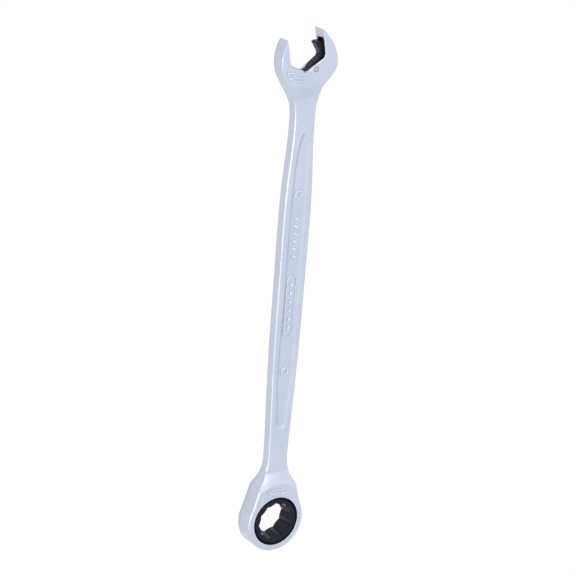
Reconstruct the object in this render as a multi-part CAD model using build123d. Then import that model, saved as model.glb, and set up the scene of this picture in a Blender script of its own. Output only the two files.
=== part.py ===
from build123d import *
import math
import os

# Ratcheting combination wrench, 9 mm across flats at both ends, in millimetres.
# The origin is the centre of the ring, on the mid-plane of the wrench. +X runs along
# the handle to the open end and +Z is the marked front face. Both ends drive
# clockwise seen from the front.

# Ring head
RING_R = 8.45
RING_HALF = 2.8
RING_EDGE_R = 0.55
RING_RAMP = [(10.5, 2.8), (12.4, 1.95), (15.8, 1.15)]
NECK_ANGLE = 66.0
NECK_POINTS = [(8.4, 6.1), (10.4, 5.3), (12.6, 3.9), (15.2, 3.2), (18.5, 3.02)]

# Ratchet gear and the bore that it turns in
BORE_R = 6.75
LIP_R = 6.2
LIP_TOP = -2.1
TEETH = 72
TOOTH_TIP_R = 6.65
TOOTH_ROOT_R = 6.32
TOOTH_LEAN = 0.32
GEAR_BACK_R = 6.14
GEAR_FRONT_R = 6.18
TEETH_BOTTOM = -2.04
TEETH_TOP = 2.0
GEAR_FACE = 2.74
HOLE_CORNER_R = 5.24
HOLE_NOTCH_R = 4.68
HOLE_TURN = 4.2
HOLE_LEAD_R = 5.0
HOLE_LEAD_DEPTH = 0.22

# Retaining ring
CLIP_GROOVE_R = 7.1
CLIP_GROOVE_Z = (2.06, 2.58)
CLIP_OUTER_R = 7.04
CLIP_INNER_R = 6.24
CLIP_Z = (2.08, 2.56)
CLIP_GAP_ANGLE = -38.0
CLIP_GAP_HALF = 4.0

# Pawl, its pocket and its spring
PAWL_HALF_Y = 2.6
PAWL_HALF_Z = 1.25
PAWL_BACK_X = 9.3
PAWL_GAP = 0.05
PAWL_TRAVEL = 0.45
SPRING_BORE_R = 0.78
SPRING_SEAT_X = 8.3
SPRING_END_X = 12.9
SPRING_R = 0.56
SPRING_WIRE_R = 0.1
SPRING_TURNS = 8

# Handle
HANDLE_HALF = 1.55
HANDLE_EDGE_R = 0.6
HANDLE_HALF_WIDTHS = [(18.5, 3.02), (30.0, 3.36), (45.0, 3.85), (70.0, 4.05), (93.5, 3.78), (107.0, 3.06)]
HANDLE_SLOPE = (1, 0.01)

# Recessed panel on both faces of the handle
PANEL_DEPTH = 0.38
PANEL_WALL = 0.75
PANEL_ROUND_X = 25.6
PANEL_ROUND_R = 1.7
PANEL_TIP_X = 105.3
PANEL_HALF_WIDTHS = [(36.0, 2.25), (55.0, 2.45), (80.0, 2.45), (91.0, 2.3), (97.5, 1.95), (102.5, 1.3)]

# Open end
HEAD_HALF = 2.0
HEAD_EDGE_R = 0.25
HEAD_FACE_CENTRE = (129.0, 1.0)
HEAD_RAMP = [(12.0, 2.0), (14.0, 1.72), (17.5, 1.05)]
LEFT_SPLIT = (116.8, 5.75)
LEFT_SPLIT_SLOPE = (0.84, 0.54)
RIGHT_SPLIT = (117.2, -4.5)
RIGHT_SPLIT_SLOPE = (0.76, -0.65)
JAW_ANGLE = 12.0
NUT_CENTRE = (125.85, 1.86)
JAW_FLAT_OUT = 4.5
JAW_WALL_OUT = 5.8
LEFT_TIP = (128.65, 7.32)
RIGHT_TIP = (131.15, -3.4)
TIP_LINE_MIDDLE = (132.0, 2.3)
TIP_EDGE_R = 0.35
MOUTH_CORNER_R = 0.25
MOUTH_EDGE = 0.18

# Sprung jaw insert, its slot, pin and spring
SLOT_HALF = 1.15
INSERT_HALF = 1.05
PIN = (121.38, -1.72)
PIN_R = 0.6
PIN_HEAD_R = 0.72
PIN_HEAD_DEPTH = 0.45
PIN_EDGE = 0.14
PIN_GAP = 0.04
INSERT_SPRING_X = 124.9
INSERT_SPRING_Y = (-6.9, -4.35)
INSERT_SPRING_R = 0.42
INSERT_SPRING_WIRE_R = 0.09
INSERT_SPRING_TURNS = 5
INSERT_SPRING_BORE_R = 0.6


def jaw_point(along, across):
    """A point given along and across the jaw opening, from the middle of the nut."""
    turn = math.radians(JAW_ANGLE)
    x = NUT_CENTRE[0] + along * math.cos(turn) - across * math.sin(turn)
    y = NUT_CENTRE[1] + along * math.sin(turn) + across * math.cos(turn)
    return (x, y)


def neck_curve():
    """Left edge of the neck, from where it leaves the ring to the handle."""
    turn = math.radians(NECK_ANGLE)
    leave = (RING_R * math.cos(turn), RING_R * math.sin(turn))
    return Spline(leave, *NECK_POINTS, tangents=[(math.sin(turn), -math.cos(turn)), HANDLE_SLOPE])


def handle_curve():
    """Left edge of the handle, from the neck to the open end."""
    return Spline(*HANDLE_HALF_WIDTHS, tangents=[HANDLE_SLOPE, (1, 0)])


def head_root_left():
    """Left edge of the open end, from the handle to where the jaw swells."""
    return Spline((107.0, 3.06), (110.6, 3.22), (113.7, 3.95), LEFT_SPLIT, tangents=[(1, 0), LEFT_SPLIT_SLOPE])


def head_root_right():
    """Right edge of the open end, from the handle to where the jaw swells."""
    points = [(107.0, -3.06), (111.5, -3.14), (114.6, -3.45), RIGHT_SPLIT]
    return Spline(*points, tangents=[(1, 0), RIGHT_SPLIT_SLOPE])


def jaw_edge_left():
    """Outer edge of the left jaw, out to its tip."""
    points = [LEFT_SPLIT, (119.6, 7.5), (122.4, 8.42), (124.8, 8.5), (127.0, 7.98), LEFT_TIP]
    return Spline(*points, tangents=[LEFT_SPLIT_SLOPE, (0.86, -0.5)])


def jaw_edge_right():
    """Outer edge of the right jaw, out to its tip."""
    points = [RIGHT_SPLIT, (118.6, -5.8), (120.4, -7.35), (122.4, -8.1), (124.4, -7.95), (126.6, -7.1)]
    points += [(128.6, -5.8), (130.1, -4.4), RIGHT_TIP]
    return Spline(*points, tangents=[RIGHT_SPLIT_SLOPE, (0.66, 0.75)])


def head_plan():
    """Plan of the open end before the mouth is cut."""
    edges = [
        head_root_left(),
        jaw_edge_left(),
        ThreePointArc(LEFT_TIP, TIP_LINE_MIDDLE, RIGHT_TIP),
        jaw_edge_right(),
        head_root_right(),
        Line((107.0, -3.06), (107.0, 3.06)),
    ]
    return make_face(edges)


def mouth_plan(grow):
    """Plan of the mouth, wider all round by the amount given: left flat, throat, seat and right wall."""
    flat_end = jaw_point(-1.85, JAW_FLAT_OUT + grow)
    flat_start = jaw_point(12.0, JAW_FLAT_OUT + grow)
    wall_start = jaw_point(-2.0 - 0.4 * grow, -JAW_WALL_OUT - grow)
    wall_end = jaw_point(12.0, -JAW_WALL_OUT - grow)
    bow = [(122.45, 5.4), (122.1, 4.6), (121.65, 3.15), (121.05, 1.9), (120.8, 1.0)]
    throat = [flat_end] + [(x - grow, y) for x, y in bow]
    seat = [throat[-1], (121.05 - grow, 0.25 - 0.3 * grow), (122.25 - 0.7 * grow, -1.15 - 0.6 * grow)]
    seat.append((124.15 - 0.7 * grow, -3.9 - 0.8 * grow))
    edges = [
        Line(flat_start, flat_end),
        Spline(*throat, tangents=[Vector(*flat_end) - Vector(*flat_start), (0, -1)]),
        Polyline(*seat, wall_start, wall_end),
        Line(wall_end, flat_start),
    ]
    plan = make_face(edges)
    corners = [vertex for vertex in plan.vertices() if vertex.X < 126.0 and vertex.Y < 2.0]
    return fillet(corners, MOUTH_CORNER_R)


def mouth_cut():
    """The mouth through both cheeks, with its rims eased on the front and the back face."""
    through = slab(mouth_plan(0), HEAD_HALF + 1)
    low = Plane.XY.offset(HEAD_HALF - MOUTH_EDGE) * mouth_plan(0)
    high = Plane.XY.offset(HEAD_HALF + MOUTH_EDGE) * mouth_plan(2 * MOUTH_EDGE)
    flare = loft([low, high])
    return through + flare + mirror(flare, Plane.XY)


def slot_plan():
    """Plan of the slot between the cheeks, with room for the insert to swing back into it."""
    mouth = [(120.55, 0.9), (123.2, 0.4), (126.5, -1.0), (129.0, -1.0)]
    back = [(129.1, -3.9), (128.5, -5.1), (127.4, -5.8), (126.3, -6.15), (125.0, -6.4)]
    back += [(123.6, -6.2), (122.4, -5.15), (121.55, -3.65), (120.4, -2.95), (119.95, -1.6), (120.05, -0.3)]
    return make_face(Polyline(*mouth, *back, close=True))


def insert_plan():
    """Plan of the sprung jaw insert, with its claw at the mouth end."""
    face = [(120.85, 0.55), (121.4, -0.15), (122.55, -1.05), (123.35, -1.95), (124.25, -3.05), (124.9, -3.35)]
    face += [(125.6, -3.05), (126.45, -2.5), (127.2, -2.0), (127.75, -1.5), (128.2, -2.0)]
    back = [(128.35, -3.3), (127.4, -3.95), (126.2, -4.75), (124.9, -4.95), (123.6, -4.3), (122.2, -3.05)]
    heel = [(120.9, -2.75), (120.3, -1.6), (120.35, -0.5)]
    plan = make_face(Polyline(*face, *back, *heel, close=True))
    return fillet(plan.vertices(), 0.12)


def handle_plan():
    """Plan of the neck, the handle and the root of the open end."""
    neck = neck_curve()
    handle = handle_curve()
    edges = [
        neck,
        handle,
        head_root_left(),
        Line(LEFT_SPLIT, RIGHT_SPLIT),
        head_root_right(),
        mirror(handle, Plane.XZ),
        mirror(neck, Plane.XZ),
        Line(neck @ 0, mirror(neck, Plane.XZ) @ 0),
    ]
    return make_face(edges)


def ring_plan():
    """Plan of the ring head, a circle drawn out into a teardrop at the neck."""
    neck = neck_curve()
    arc = CenterArc((0, 0), RING_R, NECK_ANGLE, 360 - 2 * NECK_ANGLE)
    end_x, end_y = HANDLE_HALF_WIDTHS[0]
    return make_face([arc, neck, mirror(neck, Plane.XZ), Line((end_x, -end_y), (end_x, end_y))])


def slab(plan, half):
    """A plan extruded the same distance to both faces."""
    return extrude(Plane.XY.offset(-half) * plan, 2 * half)


def face_edges(solid, half, low, high):
    """Edges lying on the front or back face between two stations in X."""
    found = []
    for edge in solid.edges():
        box = edge.bounding_box()
        flat = box.max.Z - box.min.Z < 1e-4 and abs(abs(box.min.Z) - half) < 1e-4
        if flat and box.min.X > low and box.max.X < high:
            found.append(edge)
    return found


def turned(points):
    """A solid of revolution about Z from points of (radius, height)."""
    section = make_face(Polyline(*[(r, 0, z) for r, z in points], close=True))
    return revolve(section, Axis.Z)


def face_limit(centre, ramp):
    """A disc whose two faces end in a hollow ramp, given as three (radius, half thickness) points."""
    start, bend, end = [(radius, 0, half) for radius, half in ramp]
    top = ThreePointArc(start, bend, end)
    edges = [
        Line((0, 0, start[2]), start),
        top,
        Line(end, (end[0], 0, -end[2])),
        mirror(top, Plane.XY),
        Line((start[0], 0, -start[2]), (0, 0, -start[2])),
        Line((0, 0, -start[2]), (0, 0, start[2])),
    ]
    return Pos(centre[0], centre[1], 0) * revolve(make_face(edges), Axis.Z)


def panel_plan(inset):
    """Outline of the handle's recess, rounded at the ring and pointed at the open end."""
    radius = PANEL_ROUND_R - inset
    middle = (PANEL_ROUND_X + PANEL_ROUND_R, 0)
    side = [(x, half - inset) for x, half in PANEL_HALF_WIDTHS]
    tip = (PANEL_TIP_X - 1.4 * inset, 0)
    upper = Spline((middle[0], radius), *side, tip, tangents=[(1, 0), (0.7, -0.7)])
    return make_face([CenterArc(middle, radius, 90, 180), upper, mirror(upper, Plane.XZ)])


def panel_cut():
    """The recess in the front face of the handle, with sloping walls."""
    top = Plane.XY.offset(HANDLE_HALF + PANEL_DEPTH) * panel_plan(-PANEL_WALL)
    floor = Plane.XY.offset(HANDLE_HALF - PANEL_DEPTH) * panel_plan(PANEL_WALL)
    return loft([floor, top])


def toothed_plan(tip_r, root_r):
    """Ratchet tooth outline, each tooth leaning the same way round."""
    pitch = 2 * math.pi / TEETH
    points = []
    for index in range(TEETH):
        root = index * pitch
        tip = root + pitch * (0.5 + TOOTH_LEAN)
        points.append((root_r * math.cos(root), root_r * math.sin(root)))
        points.append((tip_r * math.cos(tip), tip_r * math.sin(tip)))
    return make_face(Polyline(*points, close=True))


def socket_plan(corner_r, notch_r):
    """Twelve-point socket outline with one corner just off the X axis."""
    points = []
    for index in range(24):
        angle = math.radians(HOLE_TURN + 15 * index)
        radius = corner_r if index % 2 == 0 else notch_r
        points.append((radius * math.cos(angle), radius * math.sin(angle)))
    plan = make_face(Polyline(*points, close=True))
    return fillet(plan.vertices(), 0.12)


def make_gear():
    """Toothed ring with a plain collar each side of the teeth and the socket through it."""
    plan = Plane.XY.offset(TEETH_BOTTOM) * toothed_plan(TOOTH_TIP_R, TOOTH_ROOT_R)
    teeth = extrude(plan, TEETH_TOP - TEETH_BOTTOM)
    chamfer_r = TOOTH_TIP_R + 0.02
    keep = turned(
        [
            (0, TEETH_BOTTOM),
            (chamfer_r - 0.3, TEETH_BOTTOM),
            (chamfer_r, TEETH_BOTTOM + 0.3),
            (chamfer_r, TEETH_TOP - 0.3),
            (chamfer_r - 0.3, TEETH_TOP),
            (0, TEETH_TOP),
        ]
    )
    back = turned([(0, -GEAR_FACE), (GEAR_BACK_R - 0.15, -GEAR_FACE), (GEAR_BACK_R, -GEAR_FACE + 0.15),
                   (GEAR_BACK_R, 0), (0, 0)])
    front = turned([(0, 0), (GEAR_FRONT_R, 0), (GEAR_FRONT_R, GEAR_FACE - 0.15),
                    (GEAR_FRONT_R - 0.15, GEAR_FACE), (0, GEAR_FACE)])
    hole = slab(socket_plan(HOLE_CORNER_R, HOLE_NOTCH_R), RING_HALF)
    lead = turned([(0, GEAR_FACE), (HOLE_LEAD_R, GEAR_FACE),
                   (HOLE_NOTCH_R, GEAR_FACE - HOLE_LEAD_DEPTH), (0, GEAR_FACE - HOLE_LEAD_DEPTH)])
    return (teeth & keep) + back + front - hole - lead - mirror(lead, Plane.XY)


def make_retaining_ring():
    """Split spring ring with eased ends."""
    ring = Pos(0, 0, CLIP_Z[0]) * (
        Cylinder(CLIP_OUTER_R, CLIP_Z[1] - CLIP_Z[0], align=(Align.CENTER, Align.CENTER, Align.MIN))
        - Cylinder(CLIP_INNER_R, CLIP_Z[1] - CLIP_Z[0], align=(Align.CENTER, Align.CENTER, Align.MIN))
    )
    half = math.radians(CLIP_GAP_HALF)
    reach = 9.0
    wedge = make_face(Polyline((0, 0), (reach * math.cos(half), reach * math.sin(half)),
                               (reach * math.cos(half), -reach * math.sin(half)), close=True))
    return ring - Rot(0, 0, CLIP_GAP_ANGLE) * slab(wedge, RING_HALF)


def make_pawl():
    """Sliding block whose face carries the shape of the gear teeth."""
    back = Pos((PAWL_BACK_X + 5.0) / 2, 0, 0) * Box(PAWL_BACK_X - 5.0, 2 * PAWL_HALF_Y, 2 * PAWL_HALF_Z)
    back = chamfer(back.edges().filter_by(Axis.Z).group_by(Axis.X)[-1], 0.5)
    bite = slab(toothed_plan(TOOTH_TIP_R + PAWL_GAP, TOOTH_ROOT_R + PAWL_GAP), RING_HALF)
    seat = Pos(SPRING_SEAT_X, 0, 0) * Rot(0, 90, 0) * Cylinder(
        SPRING_BORE_R, 3.0, align=(Align.CENTER, Align.CENTER, Align.MIN)
    )
    return back - bite - seat


def coil_spring(radius, wire_r, length, turns):
    """Compression spring standing on the XY plane, as long over its wire as the length given."""
    rise = length - 2 * wire_r
    path = Pos(0, 0, wire_r) * Helix(rise / turns, rise, radius)
    start = Plane(origin=path @ 0, z_dir=path % 0)
    return sweep(start * Circle(wire_r), path=path, is_frenet=True)


def make_pawl_spring():
    """Spring between the pawl and the end of its bore."""
    coil = coil_spring(SPRING_R, SPRING_WIRE_R, SPRING_END_X - SPRING_SEAT_X - 0.04, SPRING_TURNS)
    return Pos(SPRING_SEAT_X + 0.02, 0, 0) * Rot(0, 90, 0) * coil


def insert_spring_bore(low, high):
    """Round hole along Y that holds one end of the insert's spring."""
    hole = Cylinder(INSERT_SPRING_BORE_R, high - low, align=(Align.CENTER, Align.CENTER, Align.MIN))
    return Pos(INSERT_SPRING_X, low, 0) * Rot(-90, 0, 0) * hole


def make_insert_spring():
    """Spring that pushes the insert towards the mouth."""
    low, high = INSERT_SPRING_Y
    coil = coil_spring(INSERT_SPRING_R, INSERT_SPRING_WIRE_R, high - low - 0.04, INSERT_SPRING_TURNS)
    return Pos(INSERT_SPRING_X, low + 0.02, 0) * Rot(-90, 0, 0) * coil


def make_insert():
    """Sprung claw that closes the right side of the open end."""
    plate = slab(insert_plan(), INSERT_HALF)
    hole = Pos(PIN[0], PIN[1], 0) * Cylinder(PIN_R + PIN_GAP, 4 * HEAD_HALF)
    return plate - hole - insert_spring_bore(INSERT_SPRING_Y[1] - 1.5, INSERT_SPRING_Y[1])


def make_pin(edge):
    """Hinge pin with a wider flush head on the front and back cheek, its rims eased by the edge given."""
    stem = Cylinder(PIN_R, 2 * HEAD_HALF)
    head = Pos(0, 0, HEAD_HALF - PIN_HEAD_DEPTH / 2) * Cylinder(PIN_HEAD_R, PIN_HEAD_DEPTH)
    head = chamfer(head.edges().sort_by(Axis.Z)[-1], edge) if edge else head
    pin = stem + head + mirror(head, Plane.XY)
    return Pos(PIN[0], PIN[1], 0) * pin


def upright_edges(solid, low):
    """Edges parallel to Z beyond a station in X."""
    return [edge for edge in solid.edges().filter_by(Axis.Z) if edge.center().X > low]


def make_body():
    """Forged body: ring head, handle and open end, before any cavity is cut."""
    ring = slab(ring_plan(), RING_HALF)
    ring = fillet(face_edges(ring, RING_HALF, -20, 18.4), RING_EDGE_R)
    ring = ring & face_limit((0, 0), RING_RAMP)
    handle = slab(handle_plan(), HANDLE_HALF)
    sides = [edge for edge in face_edges(handle, HANDLE_HALF, 3, 120) if abs((edge @ 0.5).Y) > 2.5]
    handle = fillet(sides, HANDLE_EDGE_R)
    head = slab(head_plan(), HEAD_HALF)
    head = fillet(upright_edges(head, 127.0), TIP_EDGE_R)
    rims = [edge for edge in face_edges(head, HEAD_HALF, 106.9, 140) if (edge @ 0.5).X > 107.1]
    head = fillet(rims, HEAD_EDGE_R)
    head = head & face_limit(HEAD_FACE_CENTRE, HEAD_RAMP)
    head = head - mouth_cut()
    panel = panel_cut()
    return ring + handle + head - panel - mirror(panel, Plane.XY)


def ring_cavity():
    """Bore, retaining lip, clip groove, pawl pocket and spring bore of the ring head."""
    bore = turned([(0, LIP_TOP), (BORE_R, LIP_TOP), (BORE_R, RING_HALF + 1), (0, RING_HALF + 1)])
    lip = Cylinder(LIP_R, 4 * RING_HALF)
    low, high = CLIP_GROOVE_Z
    groove = turned([(0, low), (CLIP_GROOVE_R, low), (CLIP_GROOVE_R, high), (0, high)])
    pocket_end = PAWL_BACK_X + PAWL_TRAVEL + 0.15
    pocket = Pos(pocket_end / 2, 0, 0) * Box(
        pocket_end, 2 * (PAWL_HALF_Y + PAWL_GAP), 2 * (PAWL_HALF_Z + PAWL_GAP)
    )
    spring_bore = Pos(SPRING_SEAT_X, 0, 0) * Rot(0, 90, 0) * Cylinder(
        SPRING_BORE_R, SPRING_END_X - SPRING_SEAT_X, align=(Align.CENTER, Align.CENTER, Align.MIN)
    )
    return bore + lip + groove + pocket + spring_bore


def jaw_cavity():
    """Slot, pin hole and spring hole of the open end."""
    slot = slab(slot_plan(), SLOT_HALF)
    return slot + make_pin(0) + insert_spring_bore(INSERT_SPRING_Y[0], INSERT_SPRING_Y[1])


def write(name, solid):
    solid.label = name
    export_step(solid, os.path.join("parts", name + ".step"))


os.makedirs("parts", exist_ok=True)
write("wrench_body", make_body() - ring_cavity() - jaw_cavity())
write("ratchet_gear", make_gear())
write("retaining_ring", make_retaining_ring())
write("pawl", make_pawl())
write("pawl_spring", make_pawl_spring())
write("jaw_insert", make_insert())
write("jaw_pin", make_pin(PIN_EDGE))
write("jaw_insert_spring", make_insert_spring())
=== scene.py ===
import math
import bpy
import bmesh
from mathutils import Matrix, Vector


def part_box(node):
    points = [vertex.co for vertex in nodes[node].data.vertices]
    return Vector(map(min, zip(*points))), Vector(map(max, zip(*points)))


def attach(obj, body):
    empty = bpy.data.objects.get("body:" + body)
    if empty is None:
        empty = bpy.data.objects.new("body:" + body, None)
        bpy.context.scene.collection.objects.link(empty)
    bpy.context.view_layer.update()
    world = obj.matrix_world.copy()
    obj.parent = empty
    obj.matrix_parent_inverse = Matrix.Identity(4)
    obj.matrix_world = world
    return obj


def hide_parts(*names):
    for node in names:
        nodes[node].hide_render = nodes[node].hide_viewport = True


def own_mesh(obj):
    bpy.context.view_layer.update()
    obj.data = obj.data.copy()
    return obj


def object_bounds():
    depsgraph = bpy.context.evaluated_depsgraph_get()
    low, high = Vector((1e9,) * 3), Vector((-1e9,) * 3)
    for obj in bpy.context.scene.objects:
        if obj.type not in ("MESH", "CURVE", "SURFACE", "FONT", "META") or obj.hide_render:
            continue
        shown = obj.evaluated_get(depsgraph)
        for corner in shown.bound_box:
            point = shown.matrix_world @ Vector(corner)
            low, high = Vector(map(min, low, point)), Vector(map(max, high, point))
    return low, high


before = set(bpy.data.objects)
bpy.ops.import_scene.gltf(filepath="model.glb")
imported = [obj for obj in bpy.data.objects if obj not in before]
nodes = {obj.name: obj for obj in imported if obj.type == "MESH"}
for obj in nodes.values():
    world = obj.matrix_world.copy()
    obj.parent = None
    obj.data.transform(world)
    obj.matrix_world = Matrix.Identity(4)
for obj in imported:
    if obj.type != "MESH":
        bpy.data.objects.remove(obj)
cad_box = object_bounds()

MM = 0.001

# ---------------------------------------------------------------- places taken from the frame
ring_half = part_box("wrench_body")[1][2]
pin_low, pin_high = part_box("jaw_pin")
pin_x = (pin_low[0] + pin_high[0]) / 2
pin_y = (pin_low[1] + pin_high[1]) / 2
head_half = pin_high[2]

# ---------------------------------------------------------------- sizes from the CAD
PANEL_FLOOR = 1.17 * MM
NUT_CENTRE = (125.85 * MM, 1.86 * MM)
PAWL_WIRE_R = 0.1 * MM
PAWL_SPRING_TURNS = 8
INSERT_WIRE_R = 0.09 * MM
INSERT_SPRING_TURNS = 6

# ---------------------------------------------------------------- sizes of the raised marks
MARK_SUNK = 0.05 * MM
ARROW_HEIGHT = 0.17 * MM
ARROW_BEVEL = 0.08 * MM
PANEL_MARK_HEIGHT = 0.2 * MM
PANEL_MARK_BEVEL = 0.09 * MM
ROW_COUNT = 6
FLOOR_REACH = 3.0
FLOOR_GAP = 0.05 * MM


# ---------------------------------------------------------------- materials
def new_material(name):
    """An empty node material with its output, shader and a coordinate node."""
    material = bpy.data.materials.new(name)
    material.use_nodes = True
    tree = material.node_tree
    shader = tree.nodes["Principled BSDF"]
    place = tree.nodes.new("ShaderNodeTexCoord").outputs["Object"]
    return material, tree, shader, place


def noise(tree, place, scale, detail=4.0, roughness=0.55, stretch=None):
    """Noise in object space, as a socket from 0 to 1."""
    if stretch:
        mapping = tree.nodes.new("ShaderNodeMapping")
        mapping.inputs["Scale"].default_value = stretch
        tree.links.new(place, mapping.inputs["Vector"])
        place = mapping.outputs["Vector"]
    node = tree.nodes.new("ShaderNodeTexNoise")
    node.inputs["Scale"].default_value = scale
    node.inputs["Detail"].default_value = detail
    node.inputs["Roughness"].default_value = roughness
    tree.links.new(place, node.inputs["Vector"])
    return node.outputs["Fac"]


def spread(tree, value, low, high, start=0.3, end=0.7):
    """Maps a noise value to a range."""
    node = tree.nodes.new("ShaderNodeMapRange")
    node.inputs["From Min"].default_value = start
    node.inputs["From Max"].default_value = end
    node.inputs["To Min"].default_value = low
    node.inputs["To Max"].default_value = high
    tree.links.new(value, node.inputs["Value"])
    return node.outputs["Result"]


def blend_colours(tree, value, first, second):
    """A colour between two, led by a value."""
    node = tree.nodes.new("ShaderNodeMix")
    node.data_type = "RGBA"
    node.inputs[6].default_value = (*first, 1)
    node.inputs[7].default_value = (*second, 1)
    tree.links.new(value, node.inputs[0])
    return node.outputs[2]


def edge_normal(tree, radius):
    """A normal that rounds sharp edges over a small radius."""
    node = tree.nodes.new("ShaderNodeBevel")
    node.samples = 8
    node.inputs["Radius"].default_value = radius
    return node.outputs["Normal"]


def bump(tree, height, strength, distance, normal=None):
    """A normal bumped by a height value."""
    node = tree.nodes.new("ShaderNodeBump")
    node.inputs["Strength"].default_value = strength
    node.inputs["Distance"].default_value = distance
    tree.links.new(height, node.inputs["Height"])
    if normal:
        tree.links.new(normal, node.inputs["Normal"])
    return node.outputs["Normal"]


def painted_shade(tree, colour, reach, floor_level):
    """Painted shade: darkens a colour in corners and gaps and near other surfaces, down to a level,
    within a reach.
    """
    node = tree.nodes.new("ShaderNodeAmbientOcclusion")
    node.samples = 8
    node.inputs["Distance"].default_value = reach
    level = spread(tree, node.outputs["AO"], floor_level, 1.0, 0.0, 1.0)
    product = tree.nodes.new("ShaderNodeVectorMath")
    product.operation = "SCALE"
    tree.links.new(colour, product.inputs[0])
    tree.links.new(level, product.inputs["Scale"])
    return product.outputs["Vector"]


def satin_chrome(name, first, second, shade_reach, shade_level):
    """Satin chrome plate: cool silver, a fine matte grain, faint lengthwise polish marks, and painted
    shade in corners and gaps.
    """
    material, tree, shader, place = new_material(name)
    cloud = noise(tree, place, 90.0, 3.0)
    grain = noise(tree, place, 7000.0, 2.0)
    polish = noise(tree, place, 900.0, 5.0, 0.6, stretch=(0.06, 1.0, 1.0))
    tint = blend_colours(tree, spread(tree, cloud, 0.0, 1.0), first, second)
    # Painted shade: the base colour is darkened in corners and gaps.
    tree.links.new(painted_shade(tree, tint, shade_reach, shade_level), shader.inputs["Base Color"])
    shader.inputs["Metallic"].default_value = 1.0
    rough = spread(tree, polish, 0.26, 0.34)
    tree.links.new(rough, shader.inputs["Roughness"])
    normal = edge_normal(tree, 0.3 * MM)
    normal = bump(tree, grain, 0.12, 0.02 * MM, normal)
    normal = bump(tree, polish, 0.03, 0.02 * MM, normal)
    tree.links.new(normal, shader.inputs["Normal"])
    return material


def black_oxide(name, tone, metallic, rough_low, rough_high, shade_reach):
    """Blackened steel: near black, faintly brown and blue in patches, low sheen, fine grain, and
    painted shade in corners and gaps.
    """
    material, tree, shader, place = new_material(name)
    patch = noise(tree, place, 260.0, 4.0)
    grain = noise(tree, place, 5200.0, 3.0)
    warm = (tone, tone * 1.04, tone * 1.55)
    cool = (tone * 0.85, tone * 0.95, tone * 1.75)
    tint = blend_colours(tree, spread(tree, patch, 0.0, 1.0), warm, cool)
    # Painted shade: the base colour is darkened to a tenth in corners and gaps.
    tree.links.new(painted_shade(tree, tint, shade_reach, 0.1), shader.inputs["Base Color"])
    shader.inputs["Metallic"].default_value = metallic
    shader.inputs["Specular IOR Level"].default_value = 0.3
    tree.links.new(spread(tree, grain, rough_low, rough_high), shader.inputs["Roughness"])
    normal = edge_normal(tree, 0.07 * MM)
    normal = bump(tree, grain, 0.18, 0.02 * MM, normal)
    tree.links.new(normal, shader.inputs["Normal"])
    return material


def spring_steel():
    """Drawn wire: grey steel with fine lines round the coil."""
    material, tree, shader, place = new_material("spring_steel")
    lines = noise(tree, place, 4200.0, 3.0)
    tint = blend_colours(tree, spread(tree, lines, 0.0, 1.0), (0.33, 0.33, 0.35), (0.5, 0.5, 0.52))
    tree.links.new(tint, shader.inputs["Base Color"])
    shader.inputs["Metallic"].default_value = 1.0
    tree.links.new(spread(tree, lines, 0.22, 0.36), shader.inputs["Roughness"])
    return material


def ground_pin():
    """Pin end ground flush with the cheek: warm grey with circular grinding marks, and painted shade in
    corners and gaps.
    """
    material, tree, shader, place = new_material("dark_pin")
    mapping = tree.nodes.new("ShaderNodeMapping")
    mapping.inputs["Location"].default_value = (-pin_x, -pin_y, 0)
    tree.links.new(place, mapping.inputs["Vector"])
    rings = tree.nodes.new("ShaderNodeTexWave")
    rings.wave_type = "RINGS"
    rings.rings_direction = "Z"
    rings.inputs["Scale"].default_value = 1400.0
    rings.inputs["Distortion"].default_value = 2.0
    tree.links.new(mapping.outputs["Vector"], rings.inputs["Vector"])
    tint = blend_colours(tree, rings.outputs["Fac"], (0.43, 0.425, 0.42), (0.5, 0.495, 0.49))
    # Painted shade: the base colour is darkened near neighbouring surfaces.
    tree.links.new(painted_shade(tree, tint, 0.3 * MM, 0.3), shader.inputs["Base Color"])
    shader.inputs["Metallic"].default_value = 1.0
    tree.links.new(spread(tree, rings.outputs["Fac"], 0.3, 0.42, 0.0, 1.0), shader.inputs["Roughness"])
    normal = edge_normal(tree, 0.12 * MM)
    tree.links.new(bump(tree, rings.outputs["Fac"], 0.15, 0.01 * MM, normal), shader.inputs["Normal"])
    return material


CHROME_DARK = (0.495, 0.535, 0.63)
CHROME_PALE = (0.54, 0.567, 0.66)
# The raised marks get lighter chrome than the body: a painted highlight that makes them read as lit.
MARK_HIGHLIGHT_DARK = (0.63, 0.665, 0.745)
MARK_HIGHLIGHT_PALE = (0.69, 0.71, 0.785)
# Both chromes take painted shade in corners and gaps; the body's 2.2 mm reach also darkens its lower
# edges near the floor.
chrome = satin_chrome("satin_chrome", CHROME_DARK, CHROME_PALE, 2.2 * MM, 0.55)
painted_highlight_chrome = satin_chrome("painted_highlight_chrome", MARK_HIGHLIGHT_DARK, MARK_HIGHLIGHT_PALE, 0.3 * MM, 0.7)
gear_black = black_oxide("black_oxide", 0.017, 0.85, 0.24, 0.36, 0.8 * MM)
insert_black = black_oxide("insert_black", 0.017, 0.85, 0.34, 0.46, 1.3 * MM)
clip_black = black_oxide("black_spring_steel", 0.005, 0.85, 0.32, 0.44, 0.6 * MM)
wire_steel = spring_steel()
pin_steel = ground_pin()

FINISHES = {
    "wrench_body": chrome,
    "ratchet_gear": gear_black,
    "retaining_ring": clip_black,
    "pawl": gear_black,
    "pawl_spring": wire_steel,
    "jaw_insert": insert_black,
    "jaw_pin": pin_steel,
    "jaw_insert_spring": wire_steel,
}
for node_name, finish in FINISHES.items():
    for slot in nodes[node_name].material_slots:
        slot.material = finish


# ---------------------------------------------------------------- raised marks
def link_piece(name, work, material):
    """A shown object made from finished mesh work, with one material."""
    mesh = bpy.data.meshes.new(name)
    work.to_mesh(mesh)
    work.free()
    piece = bpy.data.objects.new(name, mesh)
    bpy.context.scene.collection.objects.link(piece)
    mesh.materials.append(material)
    return piece


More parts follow.
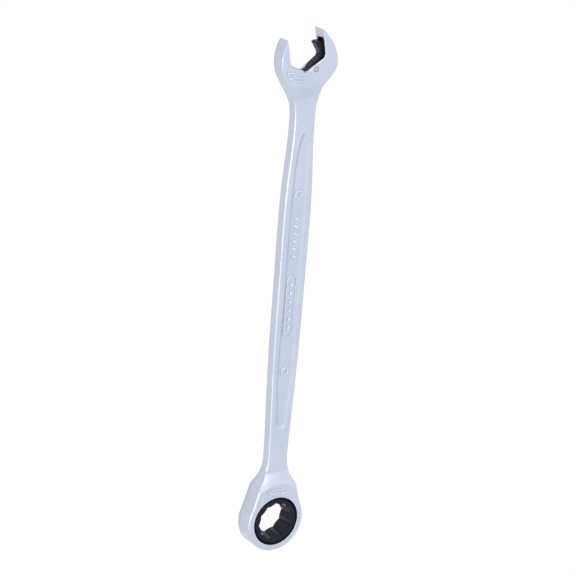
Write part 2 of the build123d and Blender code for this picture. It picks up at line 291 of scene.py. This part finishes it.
def raised_mark(name, points, faces, base_z, height, bevel, down):
    """A closed raised shape on a flat face: faces over (x, y) points, lifted from base_z."""
    sign = -1 if down else 1
    work = bmesh.new()
    low = [work.verts.new((x, y, base_z - sign * MARK_SUNK)) for x, y in points]
    flat = [work.faces.new([low[corner] for corner in face]) for face in faces]
    grown = bmesh.ops.extrude_face_region(work, geom=flat)
    lifted = [item for item in grown["geom"] if isinstance(item, bmesh.types.BMVert)]
    bmesh.ops.translate(work, vec=(0, 0, sign * (height + MARK_SUNK)), verts=lifted)
    bmesh.ops.recalc_face_normals(work, faces=work.faces[:])
    # The marks take the lighter chrome, a painted highlight.
    piece = link_piece(name, work, painted_highlight_chrome)
    soften = piece.modifiers.new("soften", "BEVEL")
    soften.width = bevel
    soften.segments = 2
    soften.limit_method = "ANGLE"
    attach(piece, "body")


def raised_shapes(name, outlines, base_z, height, bevel, down=False):
    """Raised shapes with as many corners each, as one piece."""
    count = len(outlines[0])
    points = [point for outline in outlines for point in outline]
    faces = [range(first, first + count) for first in range(0, len(points), count)]
    raised_mark(name, points, faces, base_z, height, bevel, down)


def raised_rim(name, outline, hole, base_z, height, bevel, down=False):
    """A raised rim between an outline and a smaller one with as many points."""
    count = len(outline)
    faces = []
    for index in range(count):
        following = (index + 1) % count
        faces.append((index, following, count + following, count + index))
    raised_mark(name, outline + hole, faces, base_z, height, bevel, down)


def polar(centre, radius, degrees):
    """A point round a centre."""
    angle = math.radians(degrees)
    return (centre[0] + radius * math.cos(angle), centre[1] + radius * math.sin(angle))


def arrow_outline(centre, radius, tail, neck, tip, half_shaft, half_head, steps=10):
    """A curved arrow round a centre, from the tail angle to the tip angle."""
    angles = [tail + (neck - tail) * index / steps for index in range(steps + 1)]
    outer = [polar(centre, radius + half_shaft, angle) for angle in angles]
    inner = [polar(centre, radius - half_shaft, angle) for angle in reversed(angles)]
    barb_out = polar(centre, radius + half_head, neck)
    barb_in = polar(centre, radius - half_head, neck)
    return outer + [barb_out, polar(centre, radius, tip), barb_in] + inner


def round_bar(x_low, x_high, y_middle, half, steps=8):
    """A bar along X with round ends."""
    angles = [-90 + 180 * index / steps for index in range(steps + 1)]
    right = [polar((x_high - half, y_middle), half, angle) for angle in angles]
    left = [polar((x_low + half, y_middle), half, angle + 180) for angle in angles]
    return right + left


def hexagon(x_middle, radius):
    """A hexagon on the X axis."""
    return [polar((x_middle, 0), radius, 60 * index) for index in range(6)]


def drive_arrows():
    """Curved arrows beside the jaw and the ring, drawn as raised outlines."""
    outer = arrow_outline(NUT_CENTRE, 6.95 * MM, 187, 150, 134, 0.56 * MM, 1.32 * MM)
    inner = arrow_outline(NUT_CENTRE, 6.95 * MM, 184.5, 147.5, 138.5, 0.24 * MM, 0.68 * MM)
    raised_rim("jaw_arrow", outer, inner, head_half, ARROW_HEIGHT, ARROW_BEVEL)
    outer = arrow_outline((0, 0), 8.75 * MM, 19, -9, -20, 0.52 * MM, 1.2 * MM)
    inner = arrow_outline((0, 0), 8.75 * MM, 17, -11, -17, 0.22 * MM, 0.6 * MM)
    raised_rim("ring_arrow", outer, inner, ring_half, ARROW_HEIGHT, ARROW_BEVEL)


def slanted_bar(x_low, half_y, width, slant):
    """A bar across the handle, leaning towards the open end."""
    low_side = [(x_low, -half_y), (x_low + width, -half_y)]
    return low_side + [(x_low + width + slant, half_y), (x_low + slant, half_y)]


def lozenge(x_middle, half_x, half_y):
    """A lozenge on the X axis."""
    return [(x_middle - half_x, 0), (x_middle, -half_y), (x_middle + half_x, 0), (x_middle, half_y)]


def panel_marks(side, down):
    """Plain marks in the recess: two nut symbols, a row of bars and a capsule with lozenges."""
    floor = -PANEL_FLOOR if down else PANEL_FLOOR
    cut = (floor, PANEL_MARK_HEIGHT, PANEL_MARK_BEVEL, down)
    for label, x_middle in (("far", 89.2 * MM), ("near", 41.7 * MM)):
        rim = hexagon(x_middle, 1.25 * MM)
        hole = hexagon(x_middle, 0.85 * MM)
        raised_rim("nut_mark_" + label + "_" + side, rim, hole, *cut)
    bars = []
    for index in range(ROW_COUNT):
        bars.append(slanted_bar((72.0 + 2.0 * index) * MM, 0.7 * MM, 0.7 * MM, 0.7 * MM))
    raised_shapes("bar_row_" + side, bars, *cut)
    outer = round_bar(51.0 * MM, 67.9 * MM, 0, 1.45 * MM)
    inner = round_bar(51.25 * MM, 67.65 * MM, 0, 1.2 * MM)
    raised_rim("cartouche_" + side, outer, inner, *cut)
    lozenges = []
    for index in range(ROW_COUNT):
        lozenges.append(lozenge((53.6 + 2.33 * index) * MM, 0.75 * MM, 0.55 * MM))
    raised_shapes("lozenge_row_" + side, lozenges, *cut)


drive_arrows()
panel_marks("front", False)
panel_marks("back", True)


# ---------------------------------------------------------------- springs
def coil_path(turns, wire, rise, steps):
    """Turns so far and height along the spring, with one closed turn at each end."""
    pitch = (rise - 4 * wire) / (turns - 2)
    for index in range(steps + 1):
        turned = turns * index / steps
        closed = min(turned, 1) + max(turned - turns + 1, 0)
        yield turned, closed * 2 * wire + (turned - closed) * pitch


def coil_rings(turns, wire, radius, rise, sides=8, steps_per_turn=24):
    """Rings of points round the wire, each point as (along, across, up)."""
    for turned, height in coil_path(turns, wire, rise, turns * steps_per_turn):
        angle = 2 * math.pi * turned
        ring = []
        for side in range(sides):
            around = 2 * math.pi * side / sides
            reach = radius + wire * math.cos(around)
            along = wire + height + wire * math.sin(around)
            ring.append((along, reach * math.cos(angle), reach * math.sin(angle)))
        yield ring


def make_spring(node, along_axis, wire, turns):
    """A compression spring in its solid's place."""
    low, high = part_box(node)
    order = (0, 1, 2) if along_axis == 0 else (1, 0, 2)
    radius = (high[2] - low[2]) / 2 - wire
    rise = high[along_axis] - low[along_axis] - 2 * wire
    start = [(low[axis] + high[axis]) / 2 for axis in range(3)]
    start[along_axis] = low[along_axis]
    work = bmesh.new()
    rings = []
    for ring in coil_rings(turns, wire, radius, rise):
        corners = [[start[axis] + point[order[axis]] for axis in range(3)] for point in ring]
        rings.append([work.verts.new(corner) for corner in corners])
    for ring, following in zip(rings, rings[1:]):
        for side in range(len(ring)):
            beside = (side + 1) % len(ring)
            work.faces.new((ring[side], ring[beside], following[beside], following[side]))
    work.faces.new(list(reversed(rings[0])))
    work.faces.new(rings[-1])
    bmesh.ops.recalc_face_normals(work, faces=work.faces[:])
    for face in work.faces:
        face.smooth = len(face.verts) == 4
    piece = link_piece(node + "_coil", work, wire_steel)
    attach(piece, "body")
    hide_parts(node)
    return piece


pawl_coil = make_spring("pawl_spring", 0, PAWL_WIRE_R, PAWL_SPRING_TURNS)
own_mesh(pawl_coil)
insert_coil = make_spring("jaw_insert_spring", 1, INSERT_WIRE_R, INSERT_SPRING_TURNS)
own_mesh(insert_coil)


# ---------------------------------------------------------------- floor, lights and camera
def make_floor():
    """A plain white floor just under the wrench."""
    mesh = bpy.data.meshes.new("floor")
    level = cad_box[0][2] - FLOOR_GAP
    signs = [(-1, -1), (1, -1), (1, 1), (-1, 1)]
    corners = [(x * FLOOR_REACH, y * FLOOR_REACH, level) for x, y in signs]
    mesh.from_pydata(corners, [], [(0, 1, 2, 3)])
    floor = bpy.data.objects.new("floor", mesh)
    bpy.context.scene.collection.objects.link(floor)
    material, tree, shader, place = new_material("floor_paper")
    shader.inputs["Base Color"].default_value = (0.07, 0.07, 0.07, 1)
    shader.inputs["Roughness"].default_value = 0.9
    shader.inputs["Emission Color"].default_value = (1, 1, 1, 1)
    shader.inputs["Emission Strength"].default_value = 0.95
    floor.data.materials.append(material)


def area_light(name, place, target, size, power):
    """A white rectangle of light aimed at a point."""
    data = bpy.data.lights.new(name, "AREA")
    data.shape = "RECTANGLE"
    data.size, data.size_y = size
    data.energy = power
    light = bpy.data.objects.new(name, data)
    light.location = place
    aim = Vector(target) - Vector(place)
    light.rotation_euler = aim.to_track_quat("-Z", "Y").to_euler()
    bpy.context.scene.collection.objects.link(light)


def make_world():
    """A pale studio, a little brighter and bluer on one side, so that the plated faces shade softly."""
    world = bpy.data.worlds.new("studio")
    world.use_nodes = True
    tree = world.node_tree
    background = tree.nodes["Background"]
    direction = tree.nodes.new("ShaderNodeTexCoord").outputs["Generated"]
    parts = tree.nodes.new("ShaderNodeSeparateXYZ")
    tree.links.new(direction, parts.inputs["Vector"])
    side = spread(tree, parts.outputs["Y"], 0.0, 1.0, -0.75, 0.1)
    tint = blend_colours(tree, side, (0.93, 0.95, 1.0), (0.95, 1.0, 1.0))
    tree.links.new(tint, background.inputs["Color"])
    level = spread(tree, parts.outputs["X"], 1.12, 1.28, -0.6, 0.1)
    tree.links.new(level, background.inputs["Strength"])
    bpy.context.scene.world = world


def make_camera():
    """The camera looks down at the front face from the left of the handle."""
    data = bpy.data.cameras.new("camera")
    data.sensor_width = 36.0
    data.lens = 136.64
    data.clip_start = 0.01
    camera = bpy.data.objects.new("camera", data)
    right = Vector((0.07593, -0.83731, 0.54143))
    up = Vector((0.94761, -0.10837, -0.30049))
    back = Vector((0.31028, 0.53588, 0.78521))
    turn = Matrix((right, up, back)).transposed()
    camera.matrix_world = Matrix.Translation((0.2372, 0.2993, 0.4383)) @ turn.to_4x4()
    bpy.context.scene.collection.objects.link(camera)
    bpy.context.scene.camera = camera


make_floor()
make_world()
middle = (0.065, 0, 0)
open_end = (0.125, 0, 0)
ring_centre = (0, 0, 0)
neck = (0.013, 0, 0)
area_light("broad", (-0.185, 0.61, 0.44), middle, (0.6, 0.3), 0.07)
area_light("jaw_side", (-0.03, 0.58, 0.52), open_end, (0.12, 0.4), 0.75)
area_light("ring_side", (-0.38, 0.6, 0.42), ring_centre, (0.1, 0.26), 0.25)
area_light("jaw_end", (0.79, 0.2, 0.4), open_end, (0.3, 0.3), 0.5)
area_light("neck", (0.12, -0.2, 0.76), neck, (0.07, 0.07), 0.2)
make_camera()
bpy.context.scene.view_settings.view_transform = "Standard"
